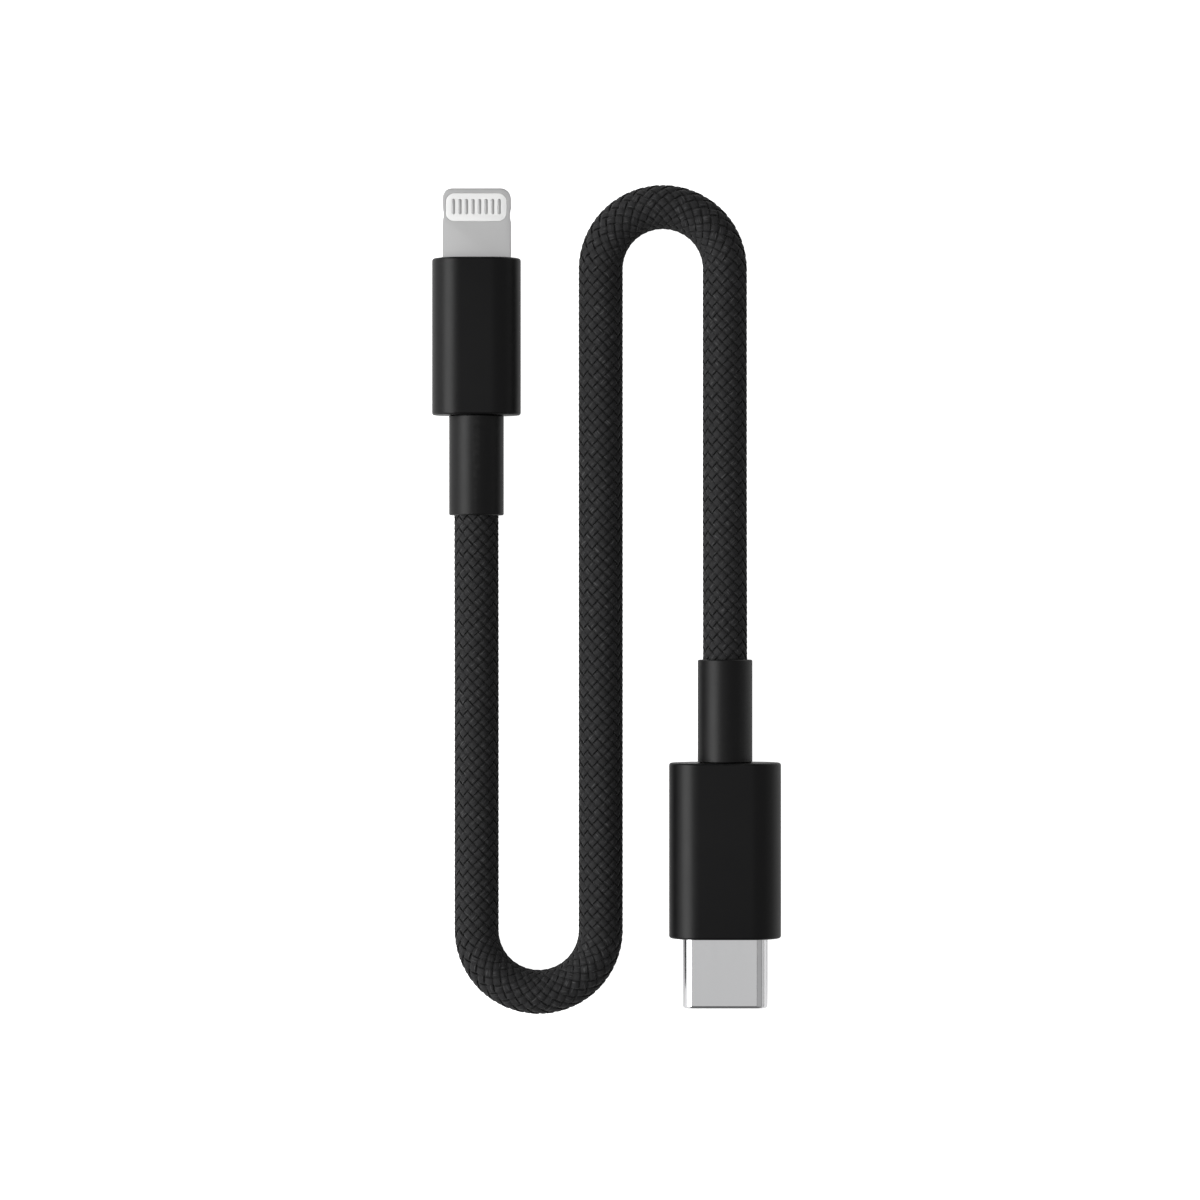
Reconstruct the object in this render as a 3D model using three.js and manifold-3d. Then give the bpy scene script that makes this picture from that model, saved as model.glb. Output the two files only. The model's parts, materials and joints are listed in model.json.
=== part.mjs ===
// A short woven charging cable lying flat in an S: a flat tab plug with eight contacts
// a side on one end, an oval plug with an open steel shell on the other.
// Millimetres, +Z up, resting on z = 0, origin below the middle of the two plugs.
import * as THREE from 'three';
import { mergeVertices } from 'three/addons/utils/BufferGeometryUtils.js';
import Module from 'manifold-3d';

const library = await Module();
library.setup();

// Driving dimensions. In each plug's own axes the origin is the middle of the housing's
// front face, +Y points out of the plug towards the socket and +Z is up.

const gap = 0.3;      // between the faces of pieces that meet end to end
const fine = 0.05;    // between pieces that lie inside each other
const past = 1;       // how far a cutting shape runs past what it cuts
const roundSides = 24;

const cordSize = {
  wovenOuter: 2.15,
  wovenInner: 1.86,
  jacketOuter: 1.75,
  jacketInner: 1.32,
  shieldOuter: 1.25,
  shieldInner: 1.12,
  wireRadius: 0.36,
  wireOffset: 0.45,
  fillerRadius: 0.16,
  coverSides: 12,
  layerSides: 8,
  wireSides: 6,
  fillerSides: 5,
};

const tabPlug = {
  x: -12.6,
  frontY: 32.97,
  turn: 0,
  housing: { width: 8.6, height: 5.8, length: 15.19, wall: 0.6, front: 1.0, rear: 0.95, edge: 0.25 },
  sleeveExposed: 9.68,
  boardRear: -9.0,
  boardHalf: 0.25,
  shieldWidth: 6.2,
  shieldHeight: 1.3,
  shieldFront: -3.2,
  padX: 1.1,
  wireZ: 0.68,
};

const ovalPlug = {
  x: 11.48,
  frontY: -32.84,
  turn: Math.PI,
  housing: { width: 10.85, height: 6.0, length: 17.0, wall: 0.7, front: 1.2, rear: 0.95, edge: 0.25 },
  sleeveExposed: 9.97,
  boardRear: -11.2,
  boardHalf: 0.3,
  shieldWidth: 7.6,
  shieldHeight: 1.7,
  shieldFront: -3.9,
  padX: 1.5,
  wireZ: 0.75,
};

// What both plugs share: the crimped shield covers, the block that holds the wires
// apart, the ring behind it and the wires' way to the cord.
const shieldWall = { thickness: 0.2, low: 0.04, behindBoard: 0.3 };
const mould = { inset: 0.4, behindBoard: 0.6, length: 1.4, hole: 0.5 };
const crimp = { inner: 1.6, outer: 2.05, front: 2.4, back: 1.25, sides: 20 };
const wireWay = { padLength: 1.1, straight: 0.4, bend: 2.0, gather: 2.5, enter: 0.6, steps: 5, sides: 6 };
const wireHoleSides = 10;

const sleeveSize = {
  outer: 2.65,
  bore: 2.25,
  endWall: 1.2,
  neckOuter: 2.2,
  neckBore: 1.6,
  neckLength: 0.9,
  neckHole: 2.3,
  edge: 0.15,
};

const tab = {
  width: 6.7,
  thickness: 1.5,
  length: 6.76,
  corner: 0.8,
  flangeWidth: 7.0,
  flangeBack: -3.0,
  flangeBehindFront: 0.15,
  slotWidth: 5.2,
  slotHeight: 0.8,
  notchCentre: 4.21,
  notchLength: 1.35,
  notchDepth: 0.1,
  windowWidth: 5.92,
  windowLength: 2.75,
  windowCorner: 0.85,
  windowCentre: 4.92,
};

const carrierSunk = 0.02;  // the carrier's faces below the faces of the tab
const tabContact = { count: 8, pitch: 0.632, width: 0.32, length: 1.46, height: 0.25, centre: 4.98, sunk: 0.03 };
const tabBoardSize = { half: 2.8, tongueInset: 0.1, tongueBehindWindow: 0.25 };
const tabControlChip = { x: [-1.3, 1.3], y: [-6.9, -4.3], z: [0.3, 0.95] };
const tabPowerChip = { x: [-1.0, 1.0], y: [-6.6, -4.2], z: [-0.85, -0.3] };

const shell = { width: 8.25, height: 2.4, wall: 0.25, length: 6.81, back: -3.6, edge: 0.08 };

const insert = {
  width: 7.65,
  height: 1.8,
  back: -3.4,
  front: 6.2,
  cavityWidth: 7.3,
  cavityHeight: 1.3,
  lip: 0.6,
  slotWidth: 6.95,
  slotHeight: 0.86,
  slotBack: 0.5,
  sideHalfHeight: 0.45,
  sideFromLip: 0.1,
  springRoom: 0.1,
};

const ovalContact = { count: 12, pitch: 0.5, width: 0.25, from: 0.26, to: 0.4, tip: 5.2 };
const ovalContactBar = { back: -3.2, front: -2.4, margin: 0.05 };
const latch = { inner: 3.25, outer: 3.45, hook: 3.05, halfHeight: 0.35, back: -2.4, tip: 5.0 };
const latchNose = { from: 0.8, crestFrom: 0.45, crestTo: 0.3 };  // back from the arm's tip
const groundSpring = { width: 4.0, length: 1.0, centre: 5.0, from: 0.69, to: 0.83 };
const midPlate = { x: [-2.9, 2.9], y: [-3.2, 0.6], z: [-0.07, 0.07] };
const ovalBoardHalfWidth = 3.4;
const ovalControlChip = { x: [-1.5, 1.5], y: [-8.3, -5.3], z: [0.35, 1.15] };

// The cord's route, sleeve to sleeve, at the middle of the cord. It leaves each sleeve
// at the plug's own height and settles on to the surface, one cord radius up.
const tabAxisZ = tabPlug.housing.height / 2;
const ovalAxisZ = ovalPlug.housing.height / 2;
const cordRoute = [
  [-12.6, 16.4, tabAxisZ],
  [-12.6, 8.1, tabAxisZ],
  [-12.6, 4.5, 2.86],
  [-12.6, 0.0, 2.6],
  [-12.6, -5.0, 2.29],
  [-12.6, -10.0, 2.15],
  [-12.6, -21.0, 2.15],
  [-12.6, -32.1, 2.15],
  [-12.14, -34.4, 2.15],
  [-10.84, -36.36, 2.15],
  [-8.88, -37.66, 2.15],
  [-6.58, -38.12, 2.15],
  [-4.28, -37.66, 2.15],
  [-2.32, -36.36, 2.15],
  [-1.02, -34.4, 2.15],
  [-0.56, -32.1, 2.15],
  [-0.56, -22.0, 2.15],
  [-0.56, -11.0, 2.15],
  [-0.56, 0.0, 2.15],
  [-0.56, 11.0, 2.15],
  [-0.56, 22.0, 2.15],
  [-0.56, 32.0, 2.15],
  [-0.1, 34.3, 2.15],
  [1.2, 36.26, 2.15],
  [3.16, 37.56, 2.15],
  [5.46, 38.02, 2.15],
  [7.76, 37.56, 2.15],
  [9.72, 36.26, 2.15],
  [11.02, 34.3, 2.15],
  [11.48, 32.0, 2.15],
  [11.48, 22.0, 2.15],
  [11.48, 12.0, 2.15],
  [11.48, 7.0, 2.31],
  [11.48, 2.0, 2.65],
  [11.48, -2.5, 2.95],
  [11.48, -5.87, ovalAxisZ],
  [11.48, -14.17, ovalAxisZ],
].map(([x, y, z]) => new THREE.Vector3(x, y, z));

// A curve whose extrusion steps fall on its own points, close in the turns and wide apart
// on the straights.
class Route extends THREE.CatmullRomCurve3 {
  getUtoTmapping(u) {
    return u;
  }
}

// Materials.

function finish(color, roughness, metalness = 0) {
  return () => new THREE.MeshStandardMaterial({ color, roughness, metalness });
}

const finishes = {
  housing: finish(0x1c1c1d, 0.55),
  sleeve: finish(0x1b1b1c, 0.6),
  steel: finish(0xb9bbbd, 0.3, 1),
  contact: finish(0x8b8d90, 0.35, 1),
  gold: finish(0xc9a24f, 0.3, 1),
  white: finish(0xf1f1ef, 0.5),
  blackPlastic: finish(0x151516, 0.5),
  board: finish(0x1e4a34, 0.45),
  chip: finish(0x202022, 0.6),
  mould: finish(0xdedbd2, 0.6),
  wireRed: finish(0xa52622, 0.5),
  wireBlack: finish(0x1b1b1b, 0.5),
  wireGreen: finish(0x2d7a3e, 0.5),
  wireWhite: finish(0xe9e9e6, 0.5),
  weave: finish(0x29292b, 0.9),
  jacket: finish(0x222224, 0.7),
  foil: finish(0xa7a9ab, 0.4, 1),
  filler: finish(0xd9c77a, 0.9),
};

// Shapes and solids.

function solid(geometry) {
  geometry.deleteAttribute('normal');
  geometry.deleteAttribute('uv');
  const merged = mergeVertices(geometry, 1e-4);
  return new library.Manifold(new library.Mesh({
    numProp: 3,
    vertProperties: merged.attributes.position.array,
    triVerts: Uint32Array.from(merged.index.array),
  }));
}

function cut(body, ...tools) {
  let result = solid(body);
  for (const tool of tools) {
    result = result.subtract(solid(tool));
  }
  const mesh = result.getMesh();
  const geometry = new THREE.BufferGeometry();
  geometry.setAttribute('position', new THREE.BufferAttribute(mesh.vertProperties, 3));
  geometry.setIndex(new THREE.BufferAttribute(mesh.triVerts, 1));
  return geometry;
}

// Two half circles joined by straight lines.
function stadium(width, height) {
  const radius = height / 2;
  const half = width / 2 - radius;
  const shape = new THREE.Shape();
  shape.absarc(half, 0, radius, -Math.PI / 2, Math.PI / 2, false);
  shape.absarc(-half, 0, radius, Math.PI / 2, 1.5 * Math.PI, false);
  shape.closePath();
  return shape;
}

function roundedRectangle(width, length, radius, centreY, PathClass = THREE.Shape) {
  const x = width / 2 - radius;
  const low = centreY - length / 2 + radius;
  const high = centreY + length / 2 - radius;
  const path = new PathClass();
  path.absarc(x, low, radius, -Math.PI / 2, 0, false);
  path.absarc(x, high, radius, 0, Math.PI / 2, false);
  path.absarc(-x, high, radius, Math.PI / 2, Math.PI, false);
  path.absarc(-x, low, radius, Math.PI, 1.5 * Math.PI, false);
  path.closePath();
  return path;
}

function outline(points) {
  return new THREE.Shape(points.map(([x, y]) => new THREE.Vector2(x, y)));
}

function polygon(radius, sides, x = 0, y = 0, PathClass = THREE.Shape) {
  const points = [];
  for (let i = 0; i < sides; i++) {
    const angle = (2 * Math.PI * (i + 0.5)) / sides;
    points.push(new THREE.Vector2(x + radius * Math.cos(angle), y + radius * Math.sin(angle)));
  }
  return new PathClass(points);
}

// A section in X and Z drawn out along Y, with its two end edges rounded by edge.
function alongY(section, fromY, toY, edge = 0) {
  const geometry = new THREE.ExtrudeGeometry(section, {
    depth: toY - fromY - 2 * edge,
    bevelEnabled: edge > 0,
    bevelThickness: edge,
    bevelSize: edge,
    bevelOffset: -edge,
    bevelSegments: 2,
    curveSegments: 6,
  });
  geometry.rotateX(-Math.PI / 2);
  geometry.translate(0, fromY + edge, 0);
  return geometry;
}

// An outline in X and Y with a thickness in Z.
function plate(shape, fromZ, toZ) {
  const geometry = new THREE.ExtrudeGeometry(shape, {
    depth: toZ - fromZ,
    bevelEnabled: false,
    curveSegments: 3,
  });
  geometry.translate(0, 0, fromZ);
  return geometry;
}

function block(x0, x1, y0, y1, z0, z1) {
  const geometry = new THREE.BoxGeometry(x1 - x0, y1 - y0, z1 - z0);
  geometry.translate((x0 + x1) / 2, (y0 + y1) / 2, (z0 + z1) / 2);
  return geometry;
}

function blockOf({ x, y, z }) {
  return block(...x, ...y, ...z);
}

// The two heights in rising order, mirrored below the middle when side is -1.
function heights(side, from, to) {
  return [side * from, side * to].sort((a, b) => a - b);
}

// A closed profile of radius and Y turned round the plug's axis.
function turned(profile, sides = roundSides) {
  return new THREE.LatheGeometry(profile.map(([r, y]) => new THREE.Vector2(r, y)), sides);
}

function rod(radius, fromY, toY, x, z, sides) {
  const geometry = new THREE.CylinderGeometry(radius, radius, toY - fromY, sides);
  geometry.translate(x, (fromY + toY) / 2, z);
  return geometry;
}

function tube(path, steps, section) {
  return new THREE.ExtrudeGeometry(section, { steps, extrudePath: path, bevelEnabled: false });
}

function add(group, name, geometry, makeMaterial) {
  const mesh = new THREE.Mesh(geometry, makeMaterial());
  mesh.name = name;
  group.add(mesh);
}

// Pieces that both plugs have.

function housingShell(size, opening) {
  const body = alongY(stadium(size.width, size.height), -size.length, 0, size.edge);
  const cavity = alongY(
    stadium(size.width - 2 * size.wall, size.height - 2 * size.wall),
    -size.length + size.rear,
    -size.front,
  );
  const front = alongY(opening, -size.front - past, past);
  const neckBack = -size.length - past;
  const neckFront = -size.length + size.rear + past;
  const rear = rod(sleeveSize.neckHole, neckBack, neckFront, 0, 0, roundSides);
  return cut(body, cavity, front, rear);
}

function strainSleeve(plug) {
  const { length } = plug.housing;
  const rear = -length - fine;
  const mouth = -length - plug.sleeveExposed;
  const floor = rear - sleeveSize.endWall;
  const neckEnd = -length + sleeveSize.neckLength;
  const { outer, bore, neckOuter, neckBore, edge } = sleeveSize;
  return turned([
    [bore, floor],
    [bore, mouth],
    [outer - edge, mouth],
    [outer, mouth + edge],
    [outer, rear],
    [neckOuter, rear],
    [neckOuter, neckEnd],
    [neckBore, neckEnd],
    [neckBore, floor],
    [bore, floor],
  ]);
}

// A folded steel cover, open below and at both ends; side is 1 above the board, -1 below.
function shieldCover(plug, side) {
  const half = plug.shieldWidth / 2;
  const top = plug.shieldHeight;
  const { thickness: wall, low, behindBoard } = shieldWall;
  const section = outline([
    [half, low],
    [half, top],
    [-half, top],
    [-half, low],
    [-half + wall, low],
    [-half + wall, top - wall],
    [half - wall, top - wall],
    [half - wall, low],
  ].map(([x, z]) => [x, -side * z]));
  return alongY(section, plug.boardRear - behindBoard, plug.shieldFront);
}

// The block that holds the four wires apart behind the board.
function wireMould(plug) {
  const { width, height, wall } = plug.housing;
  const inset = 2 * wall + mould.inset;
  const front = plug.boardRear - mould.behindBoard;
  const back = front - mould.length;
  const body = alongY(stadium(width - inset, height - inset), back, front);
  const holes = wireCorners().map(([x, z]) => (
    rod(mould.hole, back - past, front + past, x * plug.padX, z * plug.wireZ, wireHoleSides)
  ));
  return cut(body, ...holes);
}

function crimpRing(plug) {
  const { inner, outer, sides } = crimp;
  const front = -plug.housing.length + crimp.front;
  const back = -plug.housing.length + crimp.back;
  return turned([[inner, front], [inner, back], [outer, back], [outer, front], [inner, front]], sides);
}

function wireCorners() {
  return [[1, 1], [-1, 1], [1, -1], [-1, -1]];
}

// One wire from its pad on the board, through the mould, to the end of the cord.
function plugWire(plug, [sideX, sideZ]) {
  const rear = -plug.housing.length;
  const endOfCord = rear - fine - sleeveSize.endWall;
  const padX = sideX * plug.padX;
  const padZ = sideZ * plug.wireZ;
  const offset = cordSize.wireOffset;
  const path = new Route([
    [padX, plug.boardRear + wireWay.padLength, padZ],
    [padX, plug.boardRear - wireWay.straight, padZ],
    [padX, plug.boardRear - wireWay.bend, padZ],
    [sideX * offset, rear + wireWay.gather, sideZ * offset],
    [sideX * offset, rear + wireWay.enter, sideZ * offset],
    [sideX * offset, endOfCord, sideZ * offset],
  ].map(([x, y, z]) => new THREE.Vector3(x, y, z)));
  return tube(path, wireWay.steps, polygon(cordSize.wireRadius, wireWay.sides));
}

const wireNames = ['power', 'data_a', 'data_b', 'ground'];
const wireFinishes = [finishes.wireRed, finishes.wireWhite, finishes.wireGreen, finishes.wireBlack];

// order gives, for each corner of the plug, the wire that the cord brings to it.
function addWires(group, plug, prefix, order) {
  order.forEach((wire, i) => {
    const name = `${prefix}_wire_${wireNames[wire]}`;
    add(group, name, plugWire(plug, wireCorners()[i]), wireFinishes[wire]);
  });
}

function plugGroup(plug) {
  const group = new THREE.Group();
  group.position.set(plug.x, plug.frontY, plug.housing.height / 2);
  group.rotation.z = plug.turn;
  return group;
}

// The tab plug.

function tabFrame() {
  const half = tab.width / 2;
  const flange = tab.flangeWidth / 2;
  const flangeFront = -tabPlug.housing.front - tab.flangeBehindFront;
  const notchLow = tab.notchCentre - tab.notchLength / 2;
  const notchHigh = tab.notchCentre + tab.notchLength / 2;
  const dip = half - 2 * tab.notchDepth;
  const cornerX = half - tab.corner;
  const cornerY = tab.length - tab.corner;
  const shape = new THREE.Shape();
  shape.moveTo(-flange, tab.flangeBack);
  shape.lineTo(flange, tab.flangeBack);
  shape.lineTo(flange, flangeFront);
  shape.lineTo(half, flangeFront);
  shape.lineTo(half, notchLow);
  shape.quadraticCurveTo(dip, tab.notchCentre, half, notchHigh);
  shape.lineTo(half, cornerY);
  shape.absarc(cornerX, cornerY, tab.corner, 0, Math.PI / 2, false);
  shape.absarc(-cornerX, cornerY, tab.corner, Math.PI / 2, Math.PI, false);
  shape.lineTo(-half, notchHigh);
  shape.quadraticCurveTo(-dip, tab.notchCentre, -half, notchLow);
  shape.lineTo(-half, flangeFront);
  shape.lineTo(-flange, flangeFront);
  shape.closePath();
  const { windowWidth, windowLength, windowCorner, windowCentre } = tab;
  shape.holes.push(
    roundedRectangle(windowWidth, windowLength, windowCorner, windowCentre, THREE.Path),
  );
  const slotHalf = tab.slotWidth / 2;
  const slotZ = tab.slotHeight / 2;
  const slot = block(-slotHalf, slotHalf, tab.flangeBack - past, windowCentre, -slotZ, slotZ);
  return cut(plate(shape, -tab.thickness / 2, tab.thickness / 2), slot);
}

const carrierHalf = tab.thickness / 2 - carrierSunk;

function contactX(i, row) {
  return (i - (row.count - 1) / 2) * row.pitch;
}

function contactPlaces() {
  const places = [];
  for (const side of [1, -1]) {
    for (let i = 0; i < tabContact.count; i++) {
      places.push({ side, number: i + 1, x: contactX(i, tabContact) });
    }
  }
  return places;
}

// A contact's box, or its pocket when room is more than nothing.
function contactBlock({ side, x }, room) {
  const halfWidth = tabContact.width / 2 + room;
  const halfLength = tabContact.length / 2 + room;
  const face = carrierHalf - tabContact.sunk;
  const top = room > 0 ? face + past : face;
  const low = face - tabContact.height - room;
  const { centre } = tabContact;
  return block(
    x - halfWidth,
    x + halfWidth,
    centre - halfLength,
    centre + halfLength,
    ...heights(side, low, top),
  );
}

function contactCarrier() {
  const shape = roundedRectangle(
    tab.windowWidth - 2 * fine,
    tab.windowLength - 2 * fine,
    tab.windowCorner - fine,
    tab.windowCentre,
  );
  const pockets = contactPlaces().map((place) => contactBlock(place, fine));
  return cut(plate(shape, -carrierHalf, carrierHalf), ...pockets);
}

function tabBoard() {
  const tongue = tab.slotWidth / 2 - tabBoardSize.tongueInset;
  const wide = tabBoardSize.half;
  const front = tab.windowCentre - tab.windowLength / 2 - tabBoardSize.tongueBehindWindow;
  const step = tab.flangeBack - gap;
  const back = tabPlug.boardRear;
  const shape = outline([
    [-wide, back],
    [wide, back],
    [wide, step],
    [tongue, step],
    [tongue, front],
    [-tongue, front],
    [-tongue, step],
    [-wide, step],
  ]);
  return plate(shape, -tabPlug.boardHalf, tabPlug.boardHalf);
}

function buildTabPlug() {
  const group = plugGroup(tabPlug);
  const opening = outline([
    [-tab.width / 2 - fine, -tab.thickness / 2 - fine],
    [tab.width / 2 + fine, -tab.thickness / 2 - fine],
    [tab.width / 2 + fine, tab.thickness / 2 + fine],
    [-tab.width / 2 - fine, tab.thickness / 2 + fine],
  ]);
  add(group, 'tab_housing', housingShell(tabPlug.housing, opening), finishes.housing);
  add(group, 'tab_sleeve', strainSleeve(tabPlug), finishes.sleeve);
  add(group, 'tab_frame', tabFrame(), finishes.steel);
  add(group, 'tab_contact_carrier', contactCarrier(), finishes.white);
  for (const place of contactPlaces()) {
    const name = `tab_contact_${place.side > 0 ? 'top' : 'bottom'}_${place.number}`;
    add(group, name, contactBlock(place, 0), finishes.contact);
  }
  add(group, 'tab_board', tabBoard(), finishes.board);
  add(group, 'tab_control_chip', blockOf(tabControlChip), finishes.chip);
  add(group, 'tab_power_chip', blockOf(tabPowerChip), finishes.chip);
  add(group, 'tab_shield_top', shieldCover(tabPlug, 1), finishes.steel);
  add(group, 'tab_shield_bottom', shieldCover(tabPlug, -1), finishes.steel);
  add(group, 'tab_wire_mould', wireMould(tabPlug), finishes.mould);
  add(group, 'tab_crimp_ring', crimpRing(tabPlug), finishes.steel);
  addWires(group, tabPlug, 'tab', [3, 2, 1, 0]);
  return group;
}

// The oval plug.

function ovalShell() {
  const { width, height, wall, back, length } = shell;
  const inside = alongY(stadium(width - 2 * wall, height - 2 * wall), back - past, length + past);
  return cut(alongY(stadium(width, height), back, length, shell.edge), inside);
}

// The plastic lining: a cavity behind a narrower lip, side windows for the latch arms
// and a window above and below for the ground springs.
function ovalInsert() {
  const lipBack = insert.front - insert.lip;
  const body = alongY(stadium(insert.width, insert.height), insert.back, insert.front);
  const cavityShape = stadium(insert.cavityWidth, insert.cavityHeight);
  const cavity = alongY(cavityShape, insert.back - past, lipBack);
  const slotX = insert.slotWidth / 2;
  const slotZ = insert.slotHeight / 2;
  const slot = block(-slotX, slotX, lipBack - insert.slotBack, insert.front + past, -slotZ, slotZ);
  const sideX = insert.width / 2 + past;
  const sideZ = insert.sideHalfHeight;
  const sideWindow = block(-sideX, sideX, 0, lipBack - insert.sideFromLip, -sideZ, sideZ);
  const springX = groundSpring.width / 2 + insert.springRoom;
  const springHalf = groundSpring.length / 2 + insert.springRoom;
  const springLow = groundSpring.centre - springHalf;
  const springHigh = groundSpring.centre + springHalf;
  const springZ = insert.height / 2 + past;
  const springWindows = block(-springX, springX, springLow, springHigh, -springZ, springZ);
  return cut(body, cavity, slot, sideWindow, springWindows);
}

// Twelve spring contacts side by side, held together by the bar they are set in.
function contactRow(side) {
  const { count, pitch, width, from, to, tip } = ovalContact;
  const { back: barBack, front: barFront, margin } = ovalContactBar;
  const barHalf = ((count - 1) * pitch) / 2 + width / 2 + margin;
  const points = [[-barHalf, barBack], [barHalf, barBack], [barHalf, barFront]];
  for (let i = count - 1; i >= 0; i--) {
    const x = contactX(i, ovalContact);
    points.push([x + width / 2, barFront], [x + width / 2, tip]);
    points.push([x - width / 2, tip], [x - width / 2, barFront]);
  }
  points.push([-barHalf, barFront]);
  return plate(outline(points), ...heights(side, from, to));
}

// A side arm that springs outward and clicks into the socket's tongue.
function latchArm(side) {
  const { inner, outer, hook, halfHeight, back, tip } = latch;
  const points = [
    [inner, back],
    [outer, back],
    [outer, tip],
    [inner, tip],
    [hook, tip - latchNose.crestTo],
    [hook, tip - latchNose.crestFrom],
    [inner, tip - latchNose.from],
  ].map(([x, y]) => [side * x, y]);
  return plate(outline(points), -halfHeight, halfHeight);
}

function springStrip(side) {
  const { width, length, centre, from, to } = groundSpring;
  const [low, high] = heights(side, from, to);
  return block(-width / 2, width / 2, centre - length / 2, centre + length / 2, low, high);
}

function buildOvalPlug() {
  const group = plugGroup(ovalPlug);
  const opening = stadium(shell.width + 2 * fine, shell.height + 2 * fine);
  const board = block(
    -ovalBoardHalfWidth,
    ovalBoardHalfWidth,
    ovalPlug.boardRear,
    shell.back - gap,
    -ovalPlug.boardHalf,
    ovalPlug.boardHalf,
  );
  add(group, 'oval_housing', housingShell(ovalPlug.housing, opening), finishes.housing);
  add(group, 'oval_sleeve', strainSleeve(ovalPlug), finishes.sleeve);
  add(group, 'oval_shell', ovalShell(), finishes.steel);
  add(group, 'oval_insert', ovalInsert(), finishes.blackPlastic);
  add(group, 'oval_contact_row_top', contactRow(1), finishes.gold);
  add(group, 'oval_contact_row_bottom', contactRow(-1), finishes.gold);
  add(group, 'oval_mid_plate', blockOf(midPlate), finishes.steel);
  add(group, 'oval_latch_left', latchArm(-1), finishes.steel);
  add(group, 'oval_latch_right', latchArm(1), finishes.steel);
  add(group, 'oval_ground_spring_top', springStrip(1), finishes.steel);
  add(group, 'oval_ground_spring_bottom', springStrip(-1), finishes.steel);
  add(group, 'oval_board', board, finishes.board);
  add(group, 'oval_control_chip', blockOf(ovalControlChip), finishes.chip);
  add(group, 'oval_shield_top', shieldCover(ovalPlug, 1), finishes.steel);
  add(group, 'oval_shield_bottom', shieldCover(ovalPlug, -1), finishes.steel);
  add(group, 'oval_wire_mould', wireMould(ovalPlug), finishes.mould);
  add(group, 'oval_crimp_ring', crimpRing(ovalPlug), finishes.steel);
  addWires(group, ovalPlug, 'oval', [2, 3, 0, 1]);
  return group;
}

// The cord: a woven cover over a jacket, a shield, four wires and a strength strand.

function ring(outer, inner, sides) {
  const shape = polygon(outer, sides);
  shape.holes.push(polygon(inner, sides, 0, 0, THREE.Path));
  return shape;
}

function buildCord() {
  const group = new THREE.Group();
  const path = new Route(cordRoute);
  const steps = cordRoute.length - 1;
  const size = cordSize;
  const layers = [
    ['cord_woven_cover', ring(size.wovenOuter, size.wovenInner, size.coverSides), finishes.weave],
    ['cord_jacket', ring(size.jacketOuter, size.jacketInner, size.layerSides), finishes.jacket],
    ['cord_shield', ring(size.shieldOuter, size.shieldInner, size.layerSides), finishes.foil],
    ['cord_strength_strand', polygon(size.fillerRadius, size.fillerSides), finishes.filler],
  ];
  wireCorners().forEach(([x, y], i) => {
    const { wireRadius, wireSides, wireOffset } = size;
    const section = polygon(wireRadius, wireSides, x * wireOffset, y * wireOffset);
    layers.push([`cord_wire_${wireNames[i]}`, section, wireFinishes[i]]);
  });
  for (const [name, section, makeMaterial] of layers) {
    add(group, name, tube(path, steps, section), makeMaterial);
  }
  return group;
}

const cable = new THREE.Group();
cable.add(buildTabPlug(), buildOvalPlug(), buildCord());

export default cable;
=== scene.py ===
import json
import math

import bpy
import numpy as np
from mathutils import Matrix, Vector

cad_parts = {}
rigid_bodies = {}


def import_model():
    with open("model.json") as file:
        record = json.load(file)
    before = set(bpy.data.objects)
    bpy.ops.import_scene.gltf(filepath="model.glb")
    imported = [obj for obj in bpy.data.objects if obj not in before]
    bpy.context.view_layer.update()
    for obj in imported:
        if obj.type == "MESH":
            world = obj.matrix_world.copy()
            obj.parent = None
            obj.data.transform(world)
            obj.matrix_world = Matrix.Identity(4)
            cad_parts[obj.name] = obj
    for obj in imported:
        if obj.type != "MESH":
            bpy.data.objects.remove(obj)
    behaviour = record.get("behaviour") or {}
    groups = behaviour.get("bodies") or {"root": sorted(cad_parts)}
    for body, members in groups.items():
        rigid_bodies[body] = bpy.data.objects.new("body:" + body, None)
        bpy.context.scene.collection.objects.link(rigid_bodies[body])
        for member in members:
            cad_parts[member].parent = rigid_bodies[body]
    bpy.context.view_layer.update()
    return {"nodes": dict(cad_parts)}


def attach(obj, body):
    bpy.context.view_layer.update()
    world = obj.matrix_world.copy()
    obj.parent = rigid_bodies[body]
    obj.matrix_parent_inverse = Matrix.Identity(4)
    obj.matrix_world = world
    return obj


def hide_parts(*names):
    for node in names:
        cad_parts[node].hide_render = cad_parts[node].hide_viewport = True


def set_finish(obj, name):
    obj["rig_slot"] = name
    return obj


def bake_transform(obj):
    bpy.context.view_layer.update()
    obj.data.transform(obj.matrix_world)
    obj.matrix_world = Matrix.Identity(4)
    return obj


# A short woven charging cable, lying flat in an S between its two plugs.
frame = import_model()
mm = 0.001
tiny = 1e-6  # doubles closer than this are one point
print("frame loaded:", len(frame["nodes"]), "nodes")


cameraSettings = {"place": (-0.00063, -0.0001, 0.453), "lens": 139.4, "sensor": 36.0}


def addCamera(settings):
    data = bpy.data.cameras.new("camera")
    data.lens = settings["lens"]
    data.sensor_width = settings["sensor"]
    data.clip_start = 0.01
    camera = bpy.data.objects.new("camera", data)
    camera.location = settings["place"]
    bpy.context.scene.collection.objects.link(camera)
    bpy.context.scene.camera = camera


addCamera(cameraSettings)


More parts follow.
